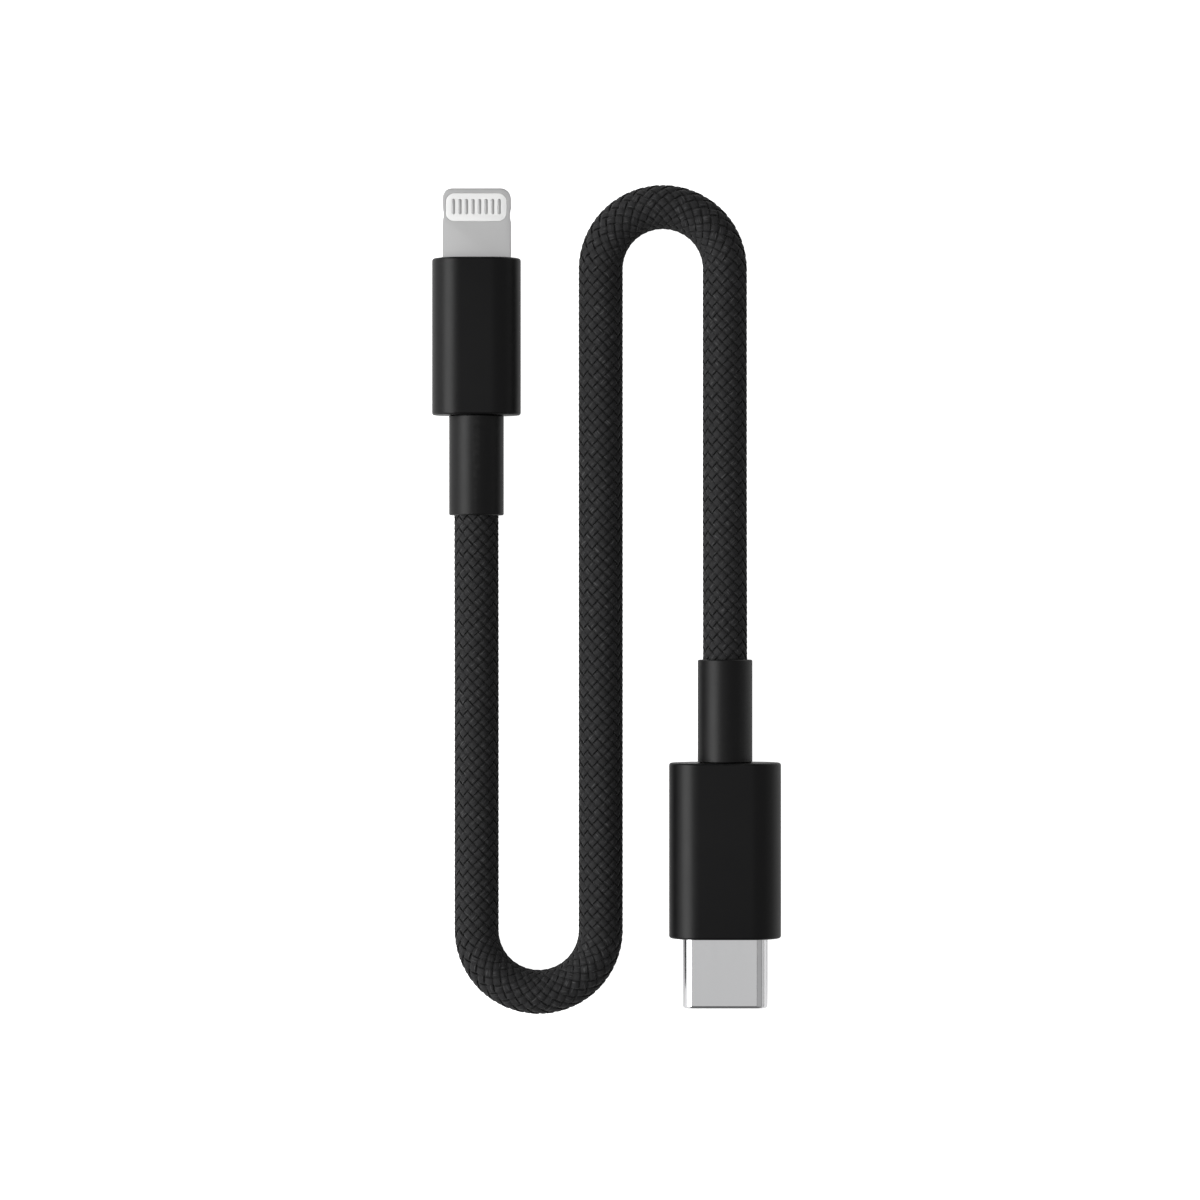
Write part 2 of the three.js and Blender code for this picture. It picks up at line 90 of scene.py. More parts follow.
# the cord's route from the tab plug's sleeve to the oval plug's sleeve, at its middle
route = [
    (-0.0126, 0.0164, 0.0029), (-0.0126, 0.0081, 0.0029), (-0.0126, 0.0045, 0.00286),
    (-0.0126, 0.0, 0.0026), (-0.0126, -0.005, 0.00229), (-0.0126, -0.01, 0.00215),
    (-0.0126, -0.021, 0.00215), (-0.0126, -0.0321, 0.00215), (-0.01214, -0.0344, 0.00215),
    (-0.01084, -0.03636, 0.00215), (-0.00888, -0.03766, 0.00215), (-0.00658, -0.03812, 0.00215),
    (-0.00428, -0.03766, 0.00215), (-0.00232, -0.03636, 0.00215), (-0.00102, -0.0344, 0.00215),
    (-0.00056, -0.0321, 0.00215), (-0.00056, -0.022, 0.00215), (-0.00056, -0.011, 0.00215),
    (-0.00056, 0.0, 0.00215), (-0.00056, 0.011, 0.00215), (-0.00056, 0.022, 0.00215),
    (-0.00056, 0.032, 0.00215), (-0.0001, 0.0343, 0.00215), (0.0012, 0.03626, 0.00215),
    (0.00316, 0.03756, 0.00215), (0.00546, 0.03802, 0.00215), (0.00776, 0.03756, 0.00215),
    (0.00972, 0.03626, 0.00215), (0.01102, 0.0343, 0.00215), (0.01148, 0.032, 0.00215),
    (0.01148, 0.022, 0.00215), (0.01148, 0.012, 0.00215), (0.01148, 0.007, 0.00231),
    (0.01148, 0.002, 0.00265), (0.01148, -0.0025, 0.00295), (0.01148, -0.00587, 0.003),
    (0.01148, -0.01417, 0.003),
]

cordSettings = {
    "diameter": 0.0043,
    "tabMouth": (-0.0126, 0.0081, 0.0029),
    "ovalMouth": (0.01148, -0.00587, 0.003),
    "meet": (-0.00056, 0.0011, 0.00215),  # the two halves of the cord meet here, on the middle run
    "bendLength": 0.010,  # of cord next to each mouth
    "bendSlant": math.radians(17.8),  # a slant angle at the bend
    "laidPoints": 180,  # of each half's middle line
}

braidSettings = {
    "carriers": 12,     # strands each way round
    "lead": 0.01332,    # of cord for one turn of a strand
    "radius": 0.00194,  # where the strands cross
    "swing": 0.00013,   # a strand's middle rises and dips by this
    "squareness": 1.3,  # flattens the tops of the floats
    "perFloat": 4,      # rings for each float, and for each dip
    # a strand's section: across, out
    "section": [(0.00038, -0.00004), (0.00033, 0.000045), (0.00026, 0.00008),
                (-0.00026, 0.00008), (-0.00033, 0.000045), (-0.00038, -0.00004),
                (-0.00018, -0.0001), (0.00018, -0.0001)],
    "paintedCreaseShade": [1.0, 0.6, 0.0, 0.0, 0.6, 1.0, 1.0, 1.0],  # painted shade on each corner of the section: 1 is fully darkened, as in the crease between strands
    "diveShade": (0.25, 0.7),  # painted shade: a strand is darkened below the first height of its dip and clear above the second
    # how far along its threads each strand starts, in mm, so that no two strands look the same
    "strandShift": 3.7, "wayShift": 50, "runShift": 2.3,
}

# the round layers under the braid, by radius; at is the place across and up, in wire offsets
layerSettings = [
    {"name": "Jacket", "node": "cord_jacket", "slot": "jacket", "outer": 0.00168, "inner": 0.00132},
    {"name": "Shield", "node": "cord_shield", "slot": "braid_shield", "outer": 0.00125, "inner": 0.00112},
    {"name": "PowerWire", "node": "cord_wire_power", "slot": "wire_red", "outer": 0.00036, "at": (1, 1)},
    {"name": "DataWireA", "node": "cord_wire_data_a", "slot": "wire_white", "outer": 0.00036, "at": (-1, 1)},
    {"name": "DataWireB", "node": "cord_wire_data_b", "slot": "wire_green", "outer": 0.00036, "at": (1, -1)},
    {"name": "GroundWire", "node": "cord_wire_ground", "slot": "wire_black", "outer": 0.00036,
     "at": (-1, -1)},
    {"name": "StrengthStrand", "node": "cord_strength_strand", "slot": "strength_strand", "outer": 0.00016},
]
wireOffset = 0.00045
straightRatio = 1.8  # a stretch this much longer than the next one is a straight
tangentReach = 0.0003


# a smooth line through the route; where a long straight meets a turn, the straight keeps its direction
def smoothLine(points, perStretch=48):
    points = [np.array(p) for p in points]
    steps = [b - a for a, b in zip(points, points[1:])]
    lengths = [np.linalg.norm(s) for s in steps]
    directions = [steps[0] / lengths[0]]
    for i in range(1, len(steps)):
        before, after = steps[i - 1] / lengths[i - 1], steps[i] / lengths[i]
        if lengths[i - 1] > straightRatio * lengths[i]:
            direction = before
        elif lengths[i] > straightRatio * lengths[i - 1]:
            direction = after
        else:
            direction = before + after
        directions.append(direction / np.linalg.norm(direction))
    directions.append(steps[-1] / lengths[-1])
    line = [points[0][None, :]]
    t = np.linspace(0, 1, perStretch + 1)[1:, None]
    for i, length in enumerate(lengths):
        line.append(
            (2 * t**3 - 3 * t**2 + 1) * points[i] + (t**3 - 2 * t**2 + t) * length * directions[i]
            + (3 * t**2 - 2 * t**3) * points[i + 1] + (t**3 - t**2) * length * directions[i + 1]
        )
    line = np.concatenate(line)
    along = np.concatenate([[0], np.cumsum(np.linalg.norm(np.diff(line, axis=0), axis=1))])
    return line, along


cordLine, cordAlong = smoothLine(route)


def lineAt(s):
    return np.stack([np.interp(s, cordAlong, cordLine[:, k]) for k in range(3)], axis=1)


# middle, sideways and upward directions of the cord at each length s
def cordFrames(s):
    middle = lineAt(s)
    tangent = lineAt(s + tangentReach) - lineAt(s - tangentReach)
    tangent /= np.linalg.norm(tangent, axis=1)[:, None]
    side = np.cross(tangent, (0, 0, 1))
    side /= np.linalg.norm(side, axis=1)[:, None]
    return middle, side, np.cross(side, tangent)


def lengthWhere(point):
    return float(cordAlong[np.argmin(np.linalg.norm(cordLine - np.array(point), axis=1))])


tabMouthAt = lengthWhere(cordSettings["tabMouth"])
ovalMouthAt = lengthWhere(cordSettings["ovalMouth"])
meetAt = lengthWhere(cordSettings["meet"])
cordEnd = float(cordAlong[-1])
print("free cord:", round(ovalMouthAt - tabMouthAt, 5), "m, tab half", round(meetAt - tabMouthAt, 5))


def meshPiece(name, points, faces, uvs=None):
    mesh = bpy.data.meshes.new(name)
    mesh.from_pydata([tuple(p) for p in points], [], faces)
    if uvs is not None:
        layer = mesh.uv_layers.new(name="strandUv")
        layer.data.foreach_set("uv", np.asarray(uvs, np.float32).ravel())
    mesh.update()
    piece = bpy.data.objects.new(name, mesh)
    bpy.context.scene.collection.objects.link(piece)
    return piece


# faces of a closed tube whose points lie ring after ring, beginning at the point numbered first
def sweptFaces(ringCount, corners, first):
    faces = []
    for i in range(ringCount - 1):
        for j in range(corners):
            a, b = first + i * corners + j, first + i * corners + (j + 1) % corners
            faces.append((a, a + corners, b + corners, b))
    faces.append(tuple(first + j for j in range(corners)))
    last = first + (ringCount - 1) * corners
    faces.append(tuple(last + j for j in reversed(range(corners))))
    return faces


# the strands that run one way round; each goes over one strand of the other way and under the next
def braidStrands(name, way, sFrom, sTo):
    settings = braidSettings
    stations = 2 * settings["carriers"]
    around = 2 * math.pi / stations
    step = settings["lead"] / stations / settings["perFloat"]
    s = np.arange(math.ceil(sFrom / step), math.floor(sTo / step) + 1) * step
    s = np.unique(np.concatenate([[sFrom], s, [sTo]]).round(9))
    middle, side, up = cordFrames(s)
    section = settings["section"]
    corners = len(section)
    sides = zip(section, section[1:] + section[:1])
    spread = [math.hypot(x1 - x0, y1 - y0) for (x0, y0), (x1, y1) in sides]
    girth = np.concatenate([[0], np.cumsum(spread)]) / mm
    points, faces, uvs, paintedCreaseShades = [], [], [], []
    low, high = settings["diveShade"]
    for k in range(settings["carriers"]):
        angle = way * 2 * math.pi * s / settings["lead"] + 2 * around * k + around / 2
        station = (angle - around / 2) / around
        lift = way * np.cos(math.pi * station)
        lift = np.tanh(settings["squareness"] * lift) / math.tanh(settings["squareness"])
        radius = settings["radius"] + settings["swing"] * lift
        out = np.cos(angle)[:, None] * side + np.sin(angle)[:, None] * up
        centre = middle + radius[:, None] * out
        along = np.gradient(centre, axis=0)
        along /= np.linalg.norm(along, axis=1)[:, None]
        out -= np.sum(out * along, axis=1)[:, None] * along
        out /= np.linalg.norm(out, axis=1)[:, None]
        across = np.cross(along, out)
        ring = np.stack([centre + x * across + y * out for x, y in section], axis=1)
        points.append(ring.reshape(-1, 3))
        faces += sweptFaces(len(s), corners, k * len(s) * corners)
        # painted shade: each point is darkened by its corner's crease weight, or more where the strand dips
        # under
        sunk = 1 - np.clip(((lift + 1) / 2 - low) / (high - low), 0, 1)
        paintedCreaseShades.append(np.maximum(np.array(settings["paintedCreaseShade"])[None, :], sunk[:, None]).ravel())
        run = np.concatenate([[0], np.cumsum(np.linalg.norm(np.diff(centre, axis=0), axis=1))]) / mm
        shift = settings["strandShift"] * k + (settings["wayShift"] if way < 0 else 0)
        u, v = girth + shift, run + settings["runShift"] * shift
        a, b = np.meshgrid(np.arange(len(s) - 1), np.arange(corners), indexing="ij")
        quads = np.stack([
            np.stack([u[b], v[a]], -1), np.stack([u[b], v[a + 1]], -1),
            np.stack([u[b + 1], v[a + 1]], -1), np.stack([u[b + 1], v[a]], -1)], axis=2)
        uvs.append(quads.reshape(-1, 2))
        uvs.append(np.stack([u[:corners], np.full(corners, v[0])], -1))
        uvs.append(np.stack([u[:corners][::-1], np.full(corners, v[-1])], -1))
    piece = meshPiece(name, np.concatenate(points), faces, np.concatenate(uvs))
    piece.data.polygons.foreach_set("use_smooth", np.array([len(f) == 4 for f in faces]))
    # the painted-shade weights are stored on the points, for the weave colour to darken by
    paintedCreaseShade = piece.data.attributes.new("paintedCreaseShade", "FLOAT", "POINT")
    paintedCreaseShade.data.foreach_set("value", np.concatenate(paintedCreaseShades).astype(np.float32))
    return piece


def layerHalf(name, settings, sFrom, sTo, sides=16, step=0.0008):
    s = np.linspace(sFrom, sTo, int(round((sTo - sFrom) / step)) + 1)
    middle, side, up = cordFrames(s)
    x, y = settings.get("at", (0, 0))
    middle = middle + wireOffset * (x * side + y * up)
    turns = np.arange(sides) * 2 * math.pi / sides
    rings = [settings["outer"]] + ([settings["inner"]] if "inner" in settings else [])
    walls = [
        np.stack([middle + r * (math.cos(t) * side + math.sin(t) * up) for t in turns], axis=1).reshape(-1, 3)
        for r in rings
    ]
    count = len(s) * sides
    if len(walls) == 1:
        faces = sweptFaces(len(s), sides, 0)
    else:
        faces = sweptFaces(len(s), sides, 0)[:-2]
        faces += [tuple(reversed(f)) for f in sweptFaces(len(s), sides, count)[:-2]]
        last = count - sides
        for j in range(sides):
            k = (j + 1) % sides
            faces.append((j, k, count + k, count + j))
            faces.append((last + k, last + j, count + last + j, count + last + k))
    piece = meshPiece(name, np.concatenate(walls), faces)
    piece.data.polygons.foreach_set("use_smooth", np.array([len(f) == 4 for f in faces]))
    return piece


def outwardFaces(piece):
    bpy.ops.object.select_all(action="DESELECT")
    bpy.context.view_layer.objects.active = piece
    piece.select_set(True)
    bpy.ops.object.mode_set(mode="EDIT")
    bpy.ops.mesh.select_all(action="SELECT")
    bpy.ops.mesh.normals_make_consistent(inside=False)
    bpy.ops.object.mode_set(mode="OBJECT")


# bakes a cord piece's placement into its points
def bendAtMouth(piece, mouth):
    mouth = Vector(mouth)
    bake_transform(piece)


cordHalves = [
    {"name": "Tab", "plug": "tab_plug", "from": 0.0, "to": meetAt, "mouth": cordSettings["tabMouth"],
     "towards": 1},
    {"name": "Oval", "plug": "oval_plug", "from": meetAt, "to": cordEnd, "mouth": cordSettings["ovalMouth"],
     "towards": -1},
]
for half in cordHalves:
    name, span = half["name"], (half["from"], half["to"])
    cover = braidStrands("cordCover" + name, 1, *span)
    crossing = braidStrands("cordCoverCrossing" + name, -1, *span)
    for piece in (cover, crossing):
        piece.visible_glossy = False  # the plugs mirror the bright surface, not the cord beside them
        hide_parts("cord_woven_cover")
        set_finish(piece, "weave")
    inner = []
    for layer in layerSettings:
        piece = layerHalf("cord" + layer["name"] + name, layer, *span)
        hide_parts(layer["node"])
        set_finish(piece, layer["slot"])
        inner.append(piece)
    for piece in [cover, crossing] + inner:
        outwardFaces(piece)
        bendAtMouth(piece, half["mouth"])
    centres = lineAt(np.linspace(*span, cordSettings["laidPoints"]))
    if half["towards"] < 0:
        centres = centres[::-1]
    print("cord half made:", name, round(span[1] - span[0], 5), "m,", len(cover.data.polygons), "faces a way")


def onlySelect(piece):
    if bpy.context.object and bpy.context.object.mode != "OBJECT":
        bpy.ops.object.mode_set(mode="OBJECT")
    bpy.ops.object.select_all(action="DESELECT")
    bpy.context.view_layer.objects.active = piece
    piece.select_set(True)


# picks the edges whose two ends both pass the test, and leaves the piece in edit mode
def pickEdges(piece, test):
    onlySelect(piece)
    bpy.ops.object.mode_set(mode="EDIT")
    bpy.ops.mesh.select_mode(type="EDGE")
    bpy.ops.mesh.select_all(action="DESELECT")
    bpy.ops.object.mode_set(mode="OBJECT")
    points = piece.data.vertices
    for edge in piece.data.edges:
        a, b = (points[i].co for i in edge.vertices)
        edge.select = test(a, b)
    bpy.ops.object.mode_set(mode="EDIT")


def roundEdges(piece, test, radius, segments):
    pickEdges(piece, test)
    bpy.ops.mesh.bevel(offset=radius, segments=segments, profile=0.5, affect="EDGES", clamp_overlap=True)
    bpy.ops.mesh.select_all(action="SELECT")
    bpy.ops.mesh.remove_doubles(threshold=tiny)
    bpy.ops.object.mode_set(mode="OBJECT")


def near(a, b, slack=2e-6):
    return abs(a - b) < slack


justUnder = 0.99999  # keeps two roundings that meet from sharing their points


# a block between two corners
def block(name, low, high):
    middle = [(a + b) / 2 for a, b in zip(low, high)]
    size = [b - a for a, b in zip(low, high)]
    bpy.ops.object.select_all(action="DESELECT")
    bpy.ops.mesh.primitive_cube_add(size=1, location=middle, scale=size)
    piece = bpy.context.object
    piece.name = piece.data.name = name
    bpy.ops.object.transform_apply(location=True, rotation=True, scale=True)
    return piece


# a bar along Y with round sides, or with corners of a given radius
def roundBar(name, width, height, fromY, toY, radius=None, segments=16):
    radius = min(width, height) / 2 if radius is None else radius
    piece = block(name, (-width / 2, fromY, -height / 2), (width / 2, toY, height / 2))
    roundEdges(piece, lambda a, b: near(a.x, b.x) and near(a.z, b.z), radius * justUnder, segments)
    return piece


# a flat plate with round corners seen from above
def roundPlate(name, width, length, centreY, fromZ, toZ, radius, segments=8):
    piece = block(name, (-width / 2, centreY - length / 2, fromZ), (width / 2, centreY + length / 2, toZ))
    roundEdges(piece, lambda a, b: near(a.x, b.x) and near(a.y, b.y), radius, segments)
    return piece


# rounds an end of a bar; the loop just behind the rounding keeps the shading of the long sides straight
def roundRim(piece, y, radius, segments, loopBehind=1.2):
    roundEdges(piece, lambda a, b: near(a.y, y) and near(b.y, y), radius, segments)
    points = piece.data.vertices
    middleY = sum(point.co.y for point in points) / len(points)
    behind = y - math.copysign(loopBehind * radius, y - middleY)
    bpy.ops.object.mode_set(mode="EDIT")
    bpy.ops.mesh.select_all(action="SELECT")
    bpy.ops.mesh.bisect(plane_co=(0, behind, 0), plane_no=(0, 1, 0))
    bpy.ops.object.mode_set(mode="OBJECT")


def cutAway(piece, *tools):
    for tool in tools:
        cut = piece.modifiers.new("cut", "BOOLEAN")
        cut.operation, cut.solver, cut.object = "DIFFERENCE", "EXACT", tool
        onlySelect(piece)
        bpy.ops.object.modifier_apply(modifier=cut.name)
        bpy.data.objects.remove(tool)


def shadeByAngle(piece, degrees=30):
    onlySelect(piece)
    bpy.ops.object.shade_smooth_by_angle(angle=math.radians(degrees))


# a round wall turned about Y: profile is radius and Y, going once round the wall's section
def turnedWall(name, profile, sides=64):
    bpy.ops.object.select_all(action="DESELECT")
    radius, y = profile[0]
    bpy.ops.mesh.primitive_circle_add(
        vertices=sides, radius=radius, fill_type="NOTHING", location=(0, y, 0), rotation=(math.pi / 2, 0, 0))
    piece = bpy.context.object
    piece.name = piece.data.name = name
    bpy.ops.object.transform_apply(location=True, rotation=True, scale=True)
    bpy.ops.object.mode_set(mode="EDIT")
    bpy.ops.mesh.select_mode(type="EDGE")
    bpy.ops.mesh.select_all(action="SELECT")
    for nextRadius, nextY in profile[1:] + profile[:1]:
        bpy.ops.mesh.extrude_region_move(TRANSFORM_OT_translate={"value": (0, nextY - y, 0)})
        scale = nextRadius / radius
        bpy.ops.transform.resize(value=(scale, 1, scale), center_override=(0, nextY, 0))
        radius, y = nextRadius, nextY
    bpy.ops.mesh.select_all(action="SELECT")
    bpy.ops.mesh.remove_doubles(threshold=tiny)
    bpy.ops.mesh.normals_make_consistent(inside=False)
    bpy.ops.object.mode_set(mode="OBJECT")
    return piece


# in a plug's own axes the origin is the middle of its housing's front face, +Y towards the socket
plugPlaces = {
    "tab": {"body": "tab_plug", "place": (-0.0126, 0.03297, 0.0029), "turn": 0.0},
    "oval": {"body": "oval_plug", "place": (0.01148, -0.03284, 0.003), "turn": math.pi},
}


def settle(piece, plug, body=None, replaces=(), slot=None):
    onlySelect(piece)
    spot = plugPlaces[plug]
    piece.location = spot["place"]
    piece.rotation_euler = (0, 0, spot["turn"])
    bpy.ops.object.transform_apply(location=True, rotation=True, scale=True)
    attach(piece, body or spot["body"])
    if replaces:
        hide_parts(*replaces)
    if slot:
        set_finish(piece, slot)


housingSettings = {
    "tab": {"width": 0.0086, "height": 0.0058, "length": 0.01519, "wall": 0.0006, "front": 0.001},
    "oval": {"width": 0.01085, "height": 0.006, "length": 0.017, "wall": 0.0007, "front": 0.0012},
    "rear": 0.00095, "edge": 0.00025, "neckHole": 0.0023, "neckDrill": 0.004,
}


def makeHousing(plug, opening):
    shape = housingSettings[plug]
    length, wall = shape["length"], shape["wall"]
    piece = roundBar(plug + "Housing", shape["width"], shape["height"], -length, 0, segments=24)
    for y in (0, -length):
        roundRim(piece, y, housingSettings["edge"], 5)
    hollow = roundBar(
        "hollow", shape["width"] - 2 * wall, shape["height"] - 2 * wall,
        -length + housingSettings["rear"], -shape["front"], segments=12)
    bpy.ops.object.select_all(action="DESELECT")
    bpy.ops.mesh.primitive_cylinder_add(
        vertices=48, radius=housingSettings["neckHole"], depth=housingSettings["neckDrill"],
        location=(0, -length, 0), rotation=(math.pi / 2, 0, 0))
    neck = bpy.context.object
    cutAway(piece, hollow, opening, neck)
    shadeByAngle(piece)
    settle(piece, plug, replaces=[plug + "_housing"], slot="housing")


tabSettings = {
    "width": 0.0067, "thickness": 0.0015, "length": 0.00676, "corner": 0.001,
    "flangeWidth": 0.007, "flangeBack": -0.003, "flangeFront": -0.00115,
    "slotWidth": 0.0052, "slotHeight": 0.0008, "sideRound": 0.0001,
    "notchCentre": 0.00421, "notchLength": 0.00135, "notchDepth": 0.0001,
    "windowWidth": 0.00592, "windowLength": 0.00275, "windowCorner": 0.00085, "windowCentre": 0.00492,
    "mouthCorner": 0.0003, "flangeLap": 0.00001,
}
shellSettings = {
    "width": 0.00825, "height": 0.0024, "wall": 0.00025, "length": 0.00681, "back": -0.0036,
    "tipRound": 0.00034, "innerRound": 0.00004,
}

seam = 0.00005  # open on each side where a plug's steel comes out of its housing
reach = 0.001   # a cutting tool runs on by this past the piece that it cuts
tabOpening = roundBar(
    "opening", tabSettings["width"] + 2 * seam, tabSettings["thickness"] + 2 * seam, -2 * reach, reach,
    radius=tabSettings["mouthCorner"], segments=4)
makeHousing("tab", tabOpening)
ovalOpening = roundBar(
    "opening", shellSettings["width"] + 2 * seam, shellSettings["height"] + 2 * seam, -2 * reach, reach,
    segments=16)
makeHousing("oval", ovalOpening)
print("housings made")

sleeveSettings = {
    "outer": 0.00265, "bore": 0.00225, "exposed": {"tab": 0.00968, "oval": 0.00997}, "endWall": 0.0012,
    "neckOuter": 0.0022, "neckBore": 0.0016, "neck": 0.0009, "edge": 0.00015, "lip": 0.00006,
}


def makeSleeve(plug):
    size = sleeveSettings
    length = housingSettings[plug]["length"]
    rear = -length - seam
    mouth = -length - size["exposed"][plug]
    floor = rear - size["endWall"]
    neckEnd = -length + size["neck"]
    rim = [  # the rounded outer edge of the mouth
        (size["outer"] - size["edge"] * (1 - math.sin(a)), mouth + size["edge"] * (1 - math.cos(a)))
        for a in np.linspace(0, math.pi / 2, 6)
    ]
    bore, lip = size["bore"], size["lip"]
    profile = [(bore, floor), (bore, mouth + lip), (bore + lip, mouth)]
    profile += rim + [
        (size["outer"], rear - lip), (size["outer"] - lip, rear), (size["neckOuter"], rear),
        (size["neckOuter"], neckEnd), (size["neckBore"], neckEnd), (size["neckBore"], floor)]
    piece = turnedWall(plug + "Sleeve", profile, sides=72)
    shadeByAngle(piece, 40)
    settle(piece, plug, replaces=[plug + "_sleeve"], slot="sleeve")


makeSleeve("tab")
makeSleeve("oval")
print("sleeves made")


def makeTabFrame():
    size = tabSettings
    half = size["thickness"] / 2
    piece = roundPlate("tabFrame", size["width"], size["length"] * 2, 0, -half, half, size["corner"], 10)
    onlySelect(piece)
    bpy.ops.object.mode_set(mode="EDIT")  # trims the plate to what shows and a little more behind the face
    bpy.ops.mesh.select_all(action="SELECT")
    bpy.ops.mesh.bisect(
        plane_co=(0, size["flangeFront"], 0), plane_no=(0, 1, 0), use_fill=True, clear_inner=True)
    bpy.ops.object.mode_set(mode="OBJECT")
    chord, depth = size["notchLength"] / 2, size["notchDepth"]
    radius = (chord**2 + depth**2) / (2 * depth)
    tools = []
    for side in (-1, 1):  # shallow hollows that a socket's springs drop into
        bpy.ops.object.select_all(action="DESELECT")
        bpy.ops.mesh.primitive_cylinder_add(
            vertices=160, radius=radius, depth=2 * size["thickness"],
            location=(side * (size["width"] / 2 + radius - depth), size["notchCentre"], 0))
        tools.append(bpy.context.object)
    cutAway(piece, *tools)
    edge = size["sideRound"]
    roundEdges(
        piece,
        lambda a, b: near(abs(a.z), half) and near(abs(b.z), half) and near(a.z, b.z)
        and not (near(a.y, size["flangeFront"]) and near(b.y, size["flangeFront"])),
        edge, 6)
    flange = block(
        "flange", (-size["flangeWidth"] / 2, size["flangeBack"], -half),
        (size["flangeWidth"] / 2, size["flangeFront"] + size["flangeLap"], half))
    join = piece.modifiers.new("join", "BOOLEAN")
    join.operation, join.solver, join.object = "UNION", "EXACT", flange
    onlySelect(piece)
    bpy.ops.object.modifier_apply(modifier=join.name)
    bpy.data.objects.remove(flange)
    window = roundPlate(
        "window", size["windowWidth"], size["windowLength"], size["windowCentre"], -reach, reach,
        size["windowCorner"], 10)
    slot = block(
        "slot", (-size["slotWidth"] / 2, size["flangeBack"] - reach, -size["slotHeight"] / 2),
        (size["slotWidth"] / 2, size["windowCentre"], size["slotHeight"] / 2))
    cutAway(piece, window, slot)
    shadeByAngle(piece, 25)
    settle(piece, "tab", replaces=["tab_frame"], slot="tab_steel")


contactSettings = {
    "count": 8, "pitch": 0.000632, "width": 0.0003, "length": 0.00146, "height": 0.00025,
    "centre": 0.00498, "sunk": 0.00001, "room": 0.000015, "edge": 0.00001,
    "carrierInset": 0.000015, "carrierSunk": 0.00001, "carrierEdge": 0.00004,
}


def contactAt(i, count, pitch):
    return (i - (count - 1) / 2) * pitch


# a pill seen from above, as one contact or the pocket that it lies in
def contactPill(name, x, fromZ, toZ, room=0.0):
    size = contactSettings
    width, length = size["width"] + 2 * room, size["length"] + 2 * room
    piece = roundPlate(name, width, length, size["centre"], fromZ, toZ, width / 2 * 0.9999, 7)
    onlySelect(piece)
    piece.location.x = x
    bpy.ops.object.transform_apply(location=True, rotation=False, scale=False)
    return piece


def makeTabContacts():
    size = contactSettings
    half = tabSettings["thickness"] / 2 - size["carrierSunk"]
    inset = size["carrierInset"]
    carrier = roundPlate(
        "tabContactCarrier", tabSettings["windowWidth"] - 2 * inset, tabSettings["windowLength"] - 2 * inset,
        tabSettings["windowCentre"], -half, half, tabSettings["windowCorner"] - inset, 12)
    roundEdges(carrier, lambda a, b: near(abs(a.z), half) and near(a.z, b.z), size["carrierEdge"], 3)
    top = half - size["sunk"]
    low = top - size["height"]
    for i in range(size["count"]):
        x = contactAt(i, size["count"], size["pitch"])
        for side, word in ((1, "Top"), (-1, "Bottom")):
            z = sorted((side * (low - size["room"]), side * (half + reach / 2)))
            cutAway(carrier, contactPill("pocket", x, z[0], z[1], size["room"]))
            z = sorted((side * low, side * top))
            contact = contactPill("tabContact" + word + str(i + 1), x, z[0], z[1])
            roundEdges(contact, lambda a, b: near(a.z, side * top) and near(b.z, side * top), size["edge"], 2)
            shadeByAngle(contact)
            node = "tab_contact_" + word.lower() + "_" + str(i + 1)
            settle(contact, "tab", replaces=[node], slot="tab_contact")
    shadeByAngle(carrier)
    settle(carrier, "tab", replaces=["tab_contact_carrier"], slot="contact_carrier")


makeTabFrame()
makeTabContacts()
print("tab made")


def makeShell():
    size = shellSettings
    piece = roundBar("ovalShell", size["width"], size["height"], size["back"], size["length"], segments=20)
    roundRim(piece, size["length"], size["tipRound"], 6)
    wall = size["wall"]
    rimSlack = 0.00003
    hollow = roundBar(
        "hollow", size["width"] - 2 * wall, size["height"] - 2 * wall, size["back"] - reach,
        size["length"] + reach, segments=20)
    cutAway(piece, hollow)
    roundEdges(
        piece,
        lambda a, b: near(a.y, size["length"], rimSlack) and near(b.y, size["length"], rimSlack)
        and max(abs(a.z), abs(b.z)) < size["height"] / 2 - wall + tiny
        and max(abs(a.x), abs(b.x)) < size["width"] / 2 - wall + tiny,
        size["innerRound"], 2)
    shadeByAngle(piece)
    settle(piece, "oval", replaces=["oval_shell"], slot="shell_steel")


insertSettings = {
    "width": 0.00765, "height": 0.0018, "back": -0.0034, "front": 0.0062, "lip": 0.0006,
    "cavityWidth": 0.0073, "cavityHeight": 0.0013, "slotWidth": 0.00695, "slotHeight": 0.00086,
    "windowHalf": 0.00045, "springWindow": 0.0021, "springFrom": 0.0044, "springTo": 0.0056,
    "mouthEdge": 0.00008, "mouthCorner": 0.00025, "lipWeb": 0.0001,
}


def makeInsert():
    size = insertSettings
    piece = roundBar("ovalInsert", size["width"], size["height"], size["back"], size["front"], segments=14)
    roundRim(piece, size["front"], size["mouthEdge"], 3)
    lipBack = size["front"] - size["lip"]
    cavity = roundBar(
        "cavity", size["cavityWidth"], size["cavityHeight"], size["back"] - reach, lipBack, segments=12)
    slot = roundBar(
        "slot", size["slotWidth"], size["slotHeight"], lipBack - reach / 2, size["front"] + reach,
        radius=size["mouthCorner"], segments=6)
    side = block(
        "side", (-5 * reach, 0, -size["windowHalf"]),
        (5 * reach, lipBack - size["lipWeb"], size["windowHalf"]))
    springs = block(
        "springs", (-size["springWindow"], size["springFrom"], -2 * reach),
        (size["springWindow"], size["springTo"], 2 * reach))
    cutAway(piece, cavity, slot, side, springs)
    shadeByAngle(piece)
    settle(piece, "oval", replaces=["oval_insert"], slot="insert")


rowSettings = {
    "count": 12, "pitch": 0.0005, "width": 0.00025, "from": 0.00026, "to": 0.0004, "tip": 0.0052,
    "tipRound": 0.00006, "barBack": -0.0032, "barFront": -0.0024, "barEnd": 0.00005,
}


